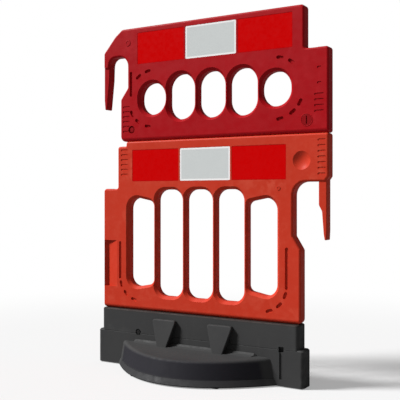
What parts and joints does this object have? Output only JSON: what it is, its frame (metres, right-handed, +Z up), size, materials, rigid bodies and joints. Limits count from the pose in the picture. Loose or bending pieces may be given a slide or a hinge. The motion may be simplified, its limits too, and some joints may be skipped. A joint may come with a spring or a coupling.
{
  "type": "stackable interlocking barrier with upper panel",
  "caption": "Free-standing plastic barrier: heavy bowed base, slotted orange panel and lift-off red upper panel with reflective sheets and hook ends.",
  "frame": {"origin": "on the ground, under the middle of the base", "axes": "+X to the right along the panels as seen from the front, front faces -Y, +Z up"},
  "size_m": [1.1145, 0.5318, 1.514],
  "materials": {
    "base_compound": "moulded recycled compound, matt, fine texture",
    "pad_rubber": "matt rubber",
    "zinc_steel": "black zinc plated",
    "insert_brass": "machined",
    "orange_plastic": "moulded polyethylene, satin, fine grain",
    "red_plastic": "moulded polyethylene, satin, fine grain",
    "spigot_plastic": "filled nylon",
    "lock_plastic": "filled nylon",
    "red_sheeting": "microprismatic retroreflective film",
    "white_sheeting": "microprismatic retroreflective film"
  },
  "bodies": {
    "barrier": {"base_block": "base_compound", "anti_slip_pads": "pad_rubber", "fixing_bolts": "zinc_steel", "fixing_washers": "zinc_steel", "tongue_inserts": "insert_brass", "lower_panel": "orange_plastic", "lower_vent_plug": "orange_plastic", "spigot_left": "spigot_plastic", "spigot_right": "spigot_plastic", "lower_sheet_red_left_front": "red_sheeting", "lower_sheet_red_left_rear": "red_sheeting", "lower_sheet_white_front": "white_sheeting", "lower_sheet_white_rear": "white_sheeting", "lower_sheet_red_right_front": "red_sheeting", "lower_sheet_red_right_rear": "red_sheeting"},
    "extension": {"upper_panel": "red_plastic", "upper_vent_plug": "red_plastic", "lock_ring_left": "red_plastic", "lock_ring_right": "red_plastic", "upper_sheet_red_left_front": "red_sheeting", "upper_sheet_red_left_rear": "red_sheeting", "upper_sheet_white_front": "white_sheeting", "upper_sheet_white_rear": "white_sheeting", "upper_sheet_red_right_front": "red_sheeting", "upper_sheet_red_right_rear": "red_sheeting"},
    "lock_left": {"lock_left": "lock_plastic", "lock_clip_left": "lock_plastic"},
    "lock_right": {"lock_right": "lock_plastic", "lock_clip_right": "lock_plastic"}
  },
  "joints": [
    {"name": "extension_lift", "type": "slide", "parent": "barrier", "child": "extension", "axis": [0, 0, 1], "range_m": [0, 0.1]},
    {"name": "lock_left_turn", "type": "hinge", "parent": "extension", "child": "lock_left", "pos_m": [-0.33, 0, 1.058], "axis": [0, 1, 0], "range_deg": [0, 180]},
    {"name": "lock_right_turn", "type": "hinge", "parent": "extension", "child": "lock_right", "pos_m": [0.516, 0, 1.058], "axis": [0, 1, 0], "range_deg": [0, 180]}
  ]
}
